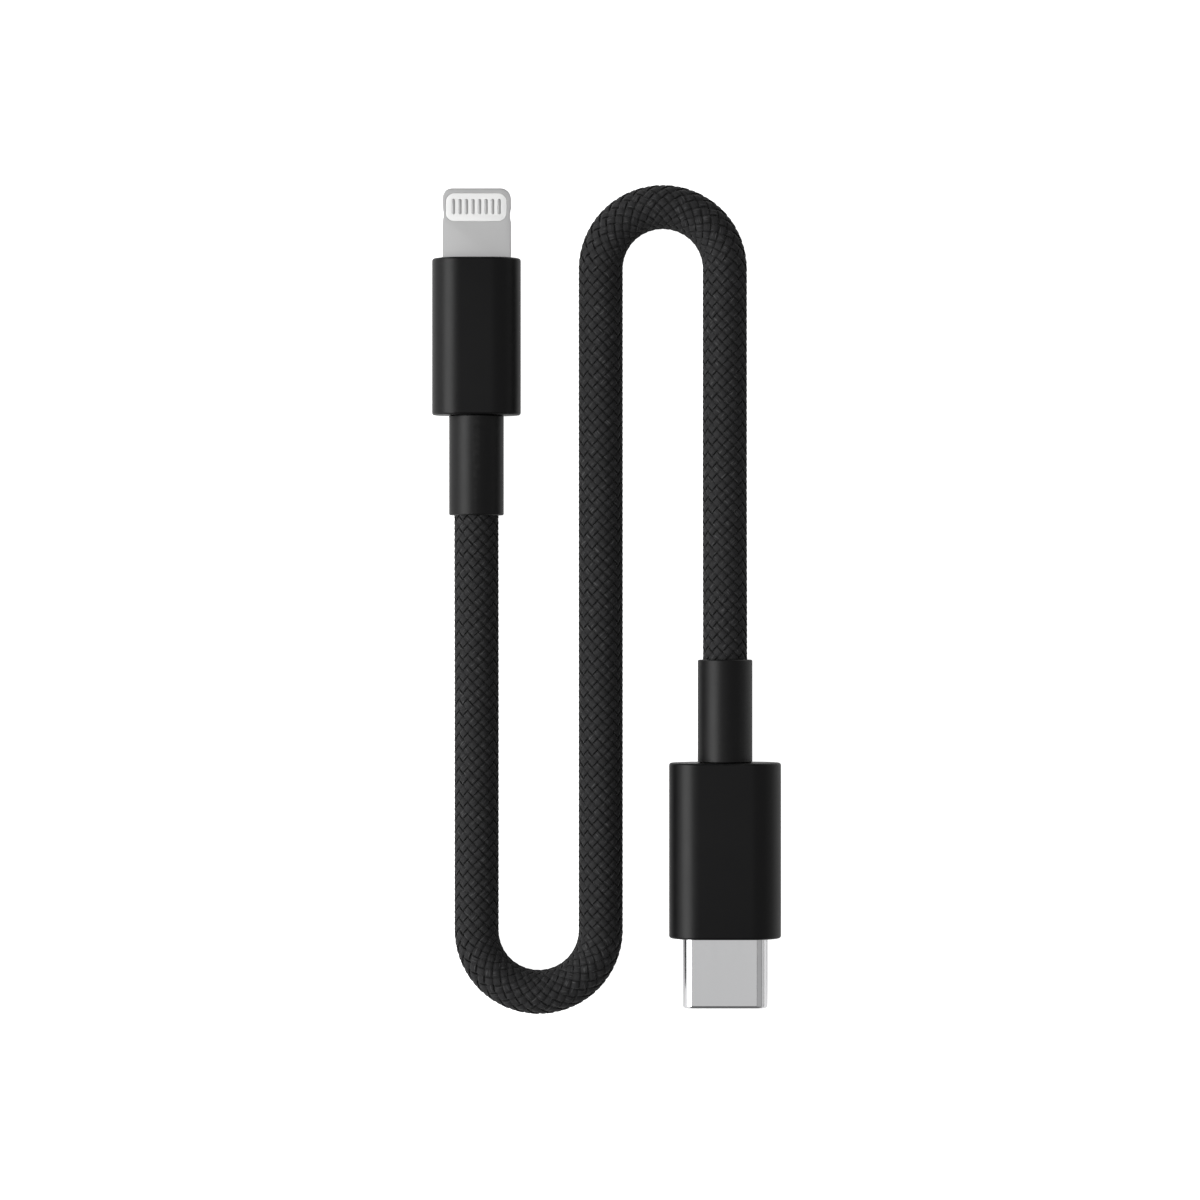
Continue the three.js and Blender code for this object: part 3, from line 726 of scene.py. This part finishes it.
# twelve spring contacts, each with a crowned tip, set in one bar
def makeContactRow(side, word):
    size = rowSettings
    barHalf = (size["count"] - 1) * size["pitch"] / 2 + size["width"] / 2 + size["barEnd"]
    z = sorted((side * size["from"], side * size["to"]))
    piece = block(
        "ovalContactRow" + word, (-barHalf, size["barBack"], z[0]), (barHalf, size["barFront"], z[1]))
    beams = []
    half = size["width"] / 2
    for i in range(size["count"]):
        x = contactAt(i, size["count"], size["pitch"])
        beam = block("beam", (x - half, size["barFront"], z[0]), (x + half, size["tip"], z[1]))
        roundEdges(
            beam, lambda a, b: near(a.y, size["tip"]) and near(b.y, size["tip"]) and near(a.z, b.z),
            size["tipRound"], 3)
        beams.append(beam)
    onlySelect(piece)
    for beam in beams:
        beam.select_set(True)
    bpy.ops.object.join()
    shadeByAngle(piece)
    settle(
        piece, "oval", body="oval_" + word.lower() + "_contacts",
        replaces=["oval_contact_row_" + word.lower()], slot="gold_contact")


latchSettings = {
    "inner": 0.00325, "outer": 0.00345, "hook": 0.00305, "halfHeight": 0.00035, "edge": 0.00004,
    "back": -0.0024, "tip": 0.005, "hookBack": 0.0042, "noseFrom": 0.00455, "noseTo": 0.0047,
}


# a side arm whose hooked nose clicks into the socket's tongue
def makeLatch(side, word):
    size = latchSettings
    low, high = sorted((side * size["inner"], side * size["outer"]))
    piece = block(
        "ovalLatch" + word, (low, size["back"], -size["halfHeight"]), (high, size["tip"], size["halfHeight"]))
    onlySelect(piece)
    bpy.ops.object.mode_set(mode="EDIT")
    for y in (size["hookBack"], size["noseFrom"], size["noseTo"]):
        bpy.ops.mesh.select_all(action="SELECT")
        bpy.ops.mesh.bisect(plane_co=(0, y, 0), plane_no=(0, 1, 0))
    bpy.ops.object.mode_set(mode="OBJECT")
    for point in piece.data.vertices:  # pushes the nose in towards the tongue
        nose = near(point.co.y, size["noseFrom"]) or near(point.co.y, size["noseTo"])
        if near(abs(point.co.x), size["inner"]) and nose:
            point.co.x = side * size["hook"]
    roundEdges(piece, lambda a, b: near(a.z, b.z) and near(abs(a.z), size["halfHeight"]), size["edge"], 2)
    shadeByAngle(piece)
    settle(
        piece, "oval", body="oval_latch_" + word.lower() + "_arm",
        replaces=["oval_latch_" + word.lower()], slot="spring_steel")


springSettings = {
    "width": 0.004, "length": 0.001, "centre": 0.005, "from": 0.00069, "to": 0.00083, "corner": 0.0002,
    "gaps": (-0.001, 0.0, 0.001), "gapHalf": 0.00006, "gapFrom": 0.0044, "gapTo": 0.0052,
}


# a plate cut into four fingers
def makeGroundSpring(side, word):
    size = springSettings
    z = sorted((side * size["from"], side * size["to"]))
    piece = roundPlate(
        "ovalGroundSpring" + word, size["width"], size["length"], size["centre"], z[0], z[1],
        size["corner"], 4)
    gaps = [
        block(
            "gap", (x - size["gapHalf"], size["gapFrom"], -2 * reach),
            (x + size["gapHalf"], size["gapTo"], 2 * reach))
        for x in size["gaps"]
    ]
    cutAway(piece, *gaps)
    shadeByAngle(piece)
    settle(
        piece, "oval", replaces=["oval_ground_spring_" + word.lower()], slot="spring_steel")


makeShell()
makeInsert()
for side, word in ((1, "Top"), (-1, "Bottom")):
    makeContactRow(side, word)
    makeGroundSpring(side, word)
makeLatch(-1, "Left")
makeLatch(1, "Right")
print("oval connector made")


def socket(tree, name, direction, kind, value=None):
    made = tree.interface.new_socket(name=name, in_out=direction, socket_type="NodeSocket" + kind)
    if value is not None:
        made.default_value = value
    return made


def link(tree, source, target):
    tree.links.new(source, target)


# fine moulded or blasted grain: a height for the bump and a mottle for colour and roughness
def makeGrainGroup():
    tree = bpy.data.node_groups.new("grain", "ShaderNodeTree")
    socket(tree, "Place", "INPUT", "Vector")
    socket(tree, "Grain size", "INPUT", "Float", 0.00008)
    socket(tree, "Cloud size", "INPUT", "Float", 0.003)
    socket(tree, "Stretch", "INPUT", "Vector", (1, 1, 1))
    socket(tree, "Height", "OUTPUT", "Float")
    socket(tree, "Mottle", "OUTPUT", "Float")
    nodes = tree.nodes
    inside, outside = nodes.new("NodeGroupInput"), nodes.new("NodeGroupOutput")
    stretched = nodes.new("ShaderNodeVectorMath")
    stretched.operation = "MULTIPLY"
    link(tree, inside.outputs["Place"], stretched.inputs[0])
    link(tree, inside.outputs["Stretch"], stretched.inputs[1])
    for word, detail, target in (("Grain size", 3, "Height"), ("Cloud size", 4, "Mottle")):
        scale = nodes.new("ShaderNodeMath")
        scale.operation = "DIVIDE"
        scale.inputs[0].default_value = 1.0
        link(tree, inside.outputs[word], scale.inputs[1])
        noise = nodes.new("ShaderNodeTexNoise")
        noise.inputs["Detail"].default_value = detail
        noise.inputs["Roughness"].default_value = 0.55
        link(tree, stretched.outputs[0], noise.inputs["Vector"])
        link(tree, scale.outputs[0], noise.inputs["Scale"])
        link(tree, noise.outputs["Fac"], outside.inputs[target])
    return tree


# a mask that is 1 on worn outer edges, broken up by noise
def makeWearGroup():
    tree = bpy.data.node_groups.new("edge wear", "ShaderNodeTree")
    socket(tree, "Place", "INPUT", "Vector")
    socket(tree, "Patch size", "INPUT", "Float", 0.0006)
    socket(tree, "Start", "INPUT", "Float", 0.53)
    socket(tree, "End", "INPUT", "Float", 0.62)
    socket(tree, "Mask", "OUTPUT", "Float")
    nodes = tree.nodes
    inside, outside = nodes.new("NodeGroupInput"), nodes.new("NodeGroupOutput")
    shape = nodes.new("ShaderNodeNewGeometry")
    edges = nodes.new("ShaderNodeMapRange")
    edges.interpolation_type = "SMOOTHSTEP"
    link(tree, shape.outputs["Pointiness"], edges.inputs["Value"])
    link(tree, inside.outputs["Start"], edges.inputs["From Min"])
    link(tree, inside.outputs["End"], edges.inputs["From Max"])
    scale = nodes.new("ShaderNodeMath")
    scale.operation = "DIVIDE"
    scale.inputs[0].default_value = 1.0
    link(tree, inside.outputs["Patch size"], scale.inputs[1])
    noise = nodes.new("ShaderNodeTexNoise")
    noise.inputs["Detail"].default_value = 3
    link(tree, inside.outputs["Place"], noise.inputs["Vector"])
    link(tree, scale.outputs[0], noise.inputs["Scale"])
    patches = nodes.new("ShaderNodeMapRange")
    patches.inputs["From Min"].default_value = 0.35
    patches.inputs["From Max"].default_value = 0.65
    link(tree, noise.outputs["Fac"], patches.inputs["Value"])
    mask = nodes.new("ShaderNodeMath")
    mask.operation = "MULTIPLY"
    link(tree, edges.outputs["Result"], mask.inputs[0])
    link(tree, patches.outputs["Result"], mask.inputs[1])
    link(tree, mask.outputs[0], outside.inputs["Mask"])
    return tree


# filaments lying along a yarn: a height, a light-thread mask and a tone that drifts along it
def makeYarnGroup():
    tree = bpy.data.node_groups.new("yarn", "ShaderNodeTree")
    socket(tree, "Strand", "INPUT", "Vector")
    socket(tree, "Filaments", "INPUT", "Float", 16.0)
    socket(tree, "Run", "INPUT", "Float", 0.9)
    socket(tree, "Height", "OUTPUT", "Float")
    socket(tree, "Threads", "OUTPUT", "Float")
    socket(tree, "Tone", "OUTPUT", "Float")
    nodes = tree.nodes
    inside, outside = nodes.new("NodeGroupInput"), nodes.new("NodeGroupOutput")
    scale = nodes.new("ShaderNodeCombineXYZ")
    link(tree, inside.outputs["Filaments"], scale.inputs["X"])
    link(tree, inside.outputs["Run"], scale.inputs["Y"])
    laid = nodes.new("ShaderNodeVectorMath")
    laid.operation = "MULTIPLY"
    link(tree, inside.outputs["Strand"], laid.inputs[0])
    link(tree, scale.outputs[0], laid.inputs[1])
    noise = nodes.new("ShaderNodeTexNoise")
    noise.inputs["Scale"].default_value = 1.0
    noise.inputs["Detail"].default_value = 2.0
    link(tree, laid.outputs[0], noise.inputs["Vector"])
    link(tree, noise.outputs["Fac"], outside.inputs["Height"])
    threads = nodes.new("ShaderNodeMapRange")
    threads.interpolation_type = "SMOOTHSTEP"
    threads.inputs["From Min"].default_value = 0.55
    threads.inputs["From Max"].default_value = 0.74
    link(tree, noise.outputs["Fac"], threads.inputs["Value"])
    link(tree, threads.outputs["Result"], outside.inputs["Threads"])
    drift = nodes.new("ShaderNodeTexNoise")
    drift.inputs["Scale"].default_value = 0.55
    drift.inputs["Detail"].default_value = 1.0
    link(tree, inside.outputs["Strand"], drift.inputs["Vector"])
    link(tree, drift.outputs["Fac"], outside.inputs["Tone"])
    return tree


grainGroup, wearGroup, yarnGroup = makeGrainGroup(), makeWearGroup(), makeYarnGroup()


def newFinish(name):
    material = bpy.data.materials.new(name)
    material.use_nodes = True
    return material, material.node_tree, material.node_tree.nodes["Principled BSDF"]


def groupNode(tree, group, values):
    node = tree.nodes.new("ShaderNodeGroup")
    node.node_tree = group
    for name, value in values.items():
        node.inputs[name].default_value = value
    return node


def mixColours(tree, factor, low, high):
    mix = tree.nodes.new("ShaderNodeMix")
    mix.data_type = "RGBA"
    link(tree, factor, mix.inputs[0])
    for value, target in ((low, mix.inputs[6]), (high, mix.inputs[7])):
        if isinstance(value, bpy.types.NodeSocket):
            link(tree, value, target)
        else:
            target.default_value = (*value, 1)
    return mix.outputs[2]


def ranged(tree, value, low, high):
    spread = tree.nodes.new("ShaderNodeMapRange")
    spread.inputs["From Min"].default_value = 0.3
    spread.inputs["From Max"].default_value = 0.7
    spread.inputs["To Min"].default_value = low
    spread.inputs["To Max"].default_value = high
    link(tree, value, spread.inputs["Value"])
    return spread.outputs["Result"]


def bumped(tree, height, strength, distance):
    bump = tree.nodes.new("ShaderNodeBump")
    bump.inputs["Strength"].default_value = strength
    bump.inputs["Distance"].default_value = distance
    link(tree, height, bump.inputs["Height"])
    return bump.outputs["Normal"]


# one hard material: two near colours mottled together, grain, and wear on its edges
def hardFinish(name, settings):
    material, tree, shader = newFinish(name)
    place = tree.nodes.new("ShaderNodeTexCoord").outputs["Object"]
    grain = groupNode(tree, grainGroup, {
        "Grain size": settings.get("grain", 0.00008), "Cloud size": settings.get("cloud", 0.003),
        "Stretch": settings.get("stretch", (1, 1, 1))})
    link(tree, place, grain.inputs["Place"])
    wear = groupNode(tree, wearGroup, {"Patch size": settings.get("patch", 0.0006)})
    link(tree, place, wear.inputs["Place"])
    colour = mixColours(tree, grain.outputs["Mottle"], settings["low"], settings["high"])
    colour = mixColours(tree, wear.outputs["Mask"], colour, settings.get("worn", settings["high"]))
    link(tree, colour, shader.inputs["Base Color"])
    link(tree, ranged(tree, grain.outputs["Mottle"], *settings["rough"]), shader.inputs["Roughness"])
    bump = bumped(tree, grain.outputs["Height"], settings.get("bump", 0.15), settings.get("depth", 0.00001))
    link(tree, bump, shader.inputs["Normal"])
    shader.inputs["Metallic"].default_value = settings.get("metal", 0.0)
    shader.inputs["Specular IOR Level"].default_value = settings.get("specular", 0.5)
    shader.inputs["Coat Weight"].default_value = settings.get("coat", 0.0)
    return material


finishSettings = {
    "housing": {"low": (0.0012, 0.0012, 0.0014), "high": (0.0022, 0.0022, 0.0024),
                "worn": (0.008, 0.008, 0.008), "rough": (0.36, 0.4), "specular": 0.21,
                "grain": 0.00007, "bump": 0.12},
    "sleeve": {"low": (0.0016, 0.0016, 0.0018), "high": (0.0028, 0.0028, 0.003),
               "worn": (0.008, 0.008, 0.008), "rough": (0.4, 0.44), "specular": 0.22,
               "grain": 0.00009, "bump": 0.15},
    "tab_steel": {"low": (0.655, 0.655, 0.655), "high": (0.665, 0.665, 0.665), "worn": (0.69, 0.69, 0.69),
                  "rough": (0.35, 0.36), "metal": 1.0, "grain": 0.00005, "bump": 0.05, "depth": 0.000002},
    "shell_steel": {"low": (0.68, 0.68, 0.69), "high": (0.75, 0.75, 0.76), "worn": (0.85, 0.85, 0.85),
                    "rough": (0.1, 0.14), "metal": 1.0, "stretch": (1, 0.08, 1), "bump": 0.08,
                    "depth": 0.000003},
    "contact_carrier": {"low": (0.76, 0.76, 0.755), "high": (0.79, 0.79, 0.785), "rough": (0.35, 0.45)},
    "tab_contact": {"low": (0.5, 0.5, 0.5), "high": (0.53, 0.53, 0.53), "rough": (0.4, 0.46), "metal": 1.0},
    "insert": {"low": (0.008, 0.008, 0.008), "high": (0.012, 0.012, 0.012), "rough": (0.4, 0.5)},
    "gold_contact": {"low": (0.72, 0.48, 0.16), "high": (0.82, 0.58, 0.22), "rough": (0.2, 0.3),
                     "metal": 1.0},
    "spring_steel": {"low": (0.55, 0.55, 0.55), "high": (0.64, 0.64, 0.63), "rough": (0.22, 0.32),
                     "metal": 1.0},
    "board": {"low": (0.012, 0.07, 0.035), "high": (0.02, 0.1, 0.05), "rough": (0.3, 0.4), "coat": 0.3},
    "chip": {"low": (0.01, 0.01, 0.011), "high": (0.016, 0.016, 0.017), "rough": (0.5, 0.6)},
    "inner_steel": {"low": (0.5, 0.5, 0.5), "high": (0.6, 0.6, 0.6), "rough": (0.3, 0.42), "metal": 1.0},
    "mould": {"low": (0.62, 0.6, 0.54), "high": (0.72, 0.7, 0.64), "rough": (0.5, 0.6)},
    "wire_red": {"low": (0.38, 0.02, 0.015), "high": (0.45, 0.03, 0.02), "rough": (0.4, 0.5)},
    "wire_white": {"low": (0.75, 0.75, 0.73), "high": (0.82, 0.82, 0.8), "rough": (0.4, 0.5)},
    "wire_green": {"low": (0.025, 0.2, 0.06), "high": (0.035, 0.26, 0.08), "rough": (0.4, 0.5)},
    "wire_black": {"low": (0.01, 0.01, 0.01), "high": (0.016, 0.016, 0.016), "rough": (0.4, 0.5)},
    "jacket": {"low": (0.012, 0.012, 0.012), "high": (0.018, 0.018, 0.018), "rough": (0.6, 0.7)},
    "braid_shield": {"low": (0.55, 0.55, 0.55), "high": (0.7, 0.7, 0.7), "rough": (0.3, 0.5), "metal": 1.0},
    "strength_strand": {"low": (0.6, 0.5, 0.15), "high": (0.72, 0.6, 0.22), "rough": (0.7, 0.8)},
}
finishes = {slot: hardFinish(slot, settings) for slot, settings in finishSettings.items()}

# the darkest colour here is painted shade, laid on the strands' crease corners and dips
weaveSettings = {
    "deep": (0.017, 0.017, 0.0175), "yarn": (0.026, 0.026, 0.0268), "thread": (0.06, 0.06, 0.061),
    "paintedCreaseShade": (0.0006, 0.0006, 0.0006), "specular": 0.1, "filaments": 7.0, "run": 1.1,
    "bump": 0.9, "depth": 0.00003, "rough": 0.75, "sheen": 0.06, "sheenRough": 0.4,
}


def weaveFinish(settings):
    material, tree, shader = newFinish("weave")
    strand = tree.nodes.new("ShaderNodeUVMap")
    strand.uv_map = "strandUv"
    yarn = groupNode(tree, yarnGroup, {"Filaments": settings["filaments"], "Run": settings["run"]})
    link(tree, strand.outputs["UV"], yarn.inputs["Strand"])
    colour = mixColours(tree, yarn.outputs["Tone"], settings["deep"], settings["yarn"])
    colour = mixColours(tree, yarn.outputs["Threads"], colour, settings["thread"])
    # painted shade: the strands' crease weights darken the colour towards the painted shade colour
    paintedCreaseShade = tree.nodes.new("ShaderNodeAttribute")
    paintedCreaseShade.attribute_name = "paintedCreaseShade"
    colour = mixColours(tree, paintedCreaseShade.outputs["Fac"], colour, settings["paintedCreaseShade"])
    link(tree, colour, shader.inputs["Base Color"])
    bump = bumped(tree, yarn.outputs["Height"], settings["bump"], settings["depth"])
    link(tree, bump, shader.inputs["Normal"])
    shader.inputs["Roughness"].default_value = settings["rough"]
    shader.inputs["Specular IOR Level"].default_value = settings["specular"]
    shader.inputs["Sheen Weight"].default_value = settings["sheen"]
    shader.inputs["Sheen Roughness"].default_value = settings["sheenRough"]
    return material


finishes["weave"] = weaveFinish(weaveSettings)


for piece in bpy.data.objects:
    if piece.get("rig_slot") and piece.type == "MESH":
        piece.data.materials.clear()
        piece.data.materials.append(finishes[piece["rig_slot"]])

# the pieces shut inside the plugs keep their own shapes and take the finish of their slot
innerFinishes = {
    "tab_board": "board", "tab_control_chip": "chip", "tab_power_chip": "chip",
    "tab_shield_top": "inner_steel", "tab_shield_bottom": "inner_steel", "tab_wire_mould": "mould",
    "tab_crimp_ring": "inner_steel",
    "oval_mid_plate": "spring_steel", "oval_board": "board", "oval_control_chip": "chip",
    "oval_shield_top": "inner_steel", "oval_shield_bottom": "inner_steel", "oval_wire_mould": "mould",
    "oval_crimp_ring": "inner_steel",
}
for plug in ("tab", "oval"):
    for wire, slot in (("power", "red"), ("data_a", "white"), ("data_b", "green"), ("ground", "black")):
        innerFinishes[plug + "_wire_" + wire] = "wire_" + slot
for node, slot in innerFinishes.items():
    piece = frame["nodes"][node]
    for k in range(len(piece.material_slots)):
        piece.material_slots[k].material = finishes[slot]
print("finishes made")


floorSettings = {
    "size": 3.0,
    "top": -0.00002,
    "colour": (0.55, 0.55, 0.55),
    "glow": 1.05,        # seen by the camera
    "mirrorGlow": 0.45,  # seen in the polished parts
}


def addFloor(settings):
    bpy.ops.object.select_all(action="DESELECT")
    bpy.ops.mesh.primitive_plane_add(size=settings["size"], location=(0, 0, settings["top"]))
    floor = bpy.context.object
    floor.name = "floor"
    material, tree, shader = newFinish("floor")
    shader.inputs["Base Color"].default_value = (*settings["colour"], 1)
    shader.inputs["Roughness"].default_value = 0.9
    shader.inputs["Specular IOR Level"].default_value = 0.0
    rays = tree.nodes.new("ShaderNodeLightPath").outputs
    mirrored = tree.nodes.new("ShaderNodeMath")
    mirrored.operation = "MULTIPLY"
    mirrored.inputs[1].default_value = settings["mirrorGlow"]
    link(tree, rays["Is Glossy Ray"], mirrored.inputs[0])
    strength = tree.nodes.new("ShaderNodeMath")
    strength.operation = "MULTIPLY_ADD"
    strength.inputs[1].default_value = settings["glow"]
    link(tree, rays["Is Camera Ray"], strength.inputs[0])
    link(tree, mirrored.outputs[0], strength.inputs[2])
    glow = tree.nodes.new("ShaderNodeEmission")
    link(tree, strength.outputs[0], glow.inputs["Strength"])
    total = tree.nodes.new("ShaderNodeAddShader")
    link(tree, shader.outputs[0], total.inputs[0])
    link(tree, glow.outputs[0], total.inputs[1])
    link(tree, total.outputs[0], tree.nodes["Material Output"].inputs["Surface"])
    floor.data.materials.append(material)


# glow is the brightness of the panel's face
lightSettings = [
    {"name": "leftPanel", "place": (-0.6, 0.0, 0.555), "aim": (0, 0, 0.555), "size": (1.2, 0.67),
     "glow": 5.4},
    {"name": "topPanel", "place": (-0.2, 0.0, 1.0), "aim": (-0.2, 0, 0), "size": (0.9, 0.72),
     "glow": 0.54},
    {"name": "rightPanel", "place": (0.63, 0.0, 0.78), "aim": (0, 0, 0), "size": (1.2, 0.8),
     "glow": 0.3},
    {"name": "leftStrip", "place": (-0.6, 0.0, 0.09), "aim": (0, 0, 0.09), "size": (1.2, 0.18),
     "glow": 1.0},
    {"name": "rightStrip", "place": (0.6, 0.0, 0.165), "aim": (0, 0, 0.165), "size": (1.2, 0.23),
     "glow": 0.55},
]
worldLight = 0.16


def addLight(settings):
    data = bpy.data.lights.new(settings["name"], "AREA")
    data.shape = "RECTANGLE"
    data.size, data.size_y = settings["size"]
    data.energy = settings["glow"] * math.pi * data.size * data.size_y
    light = bpy.data.objects.new(settings["name"], data)
    light.location = settings["place"]
    aim = Vector(settings["aim"]) - light.location
    light.rotation_euler = aim.to_track_quat("-Z", "Y").to_euler()
    bpy.context.scene.collection.objects.link(light)


addFloor(floorSettings)
for settings in lightSettings:
    addLight(settings)
world = bpy.data.worlds.new("studio")
world.use_nodes = True
world.node_tree.nodes["Background"].inputs["Color"].default_value = (1, 1, 1, 1)
world.node_tree.nodes["Background"].inputs["Strength"].default_value = worldLight
bpy.context.scene.world = world
bpy.context.scene.view_settings.view_transform = "Standard"
print("floor and light made")

bpy.context.view_layer.update()
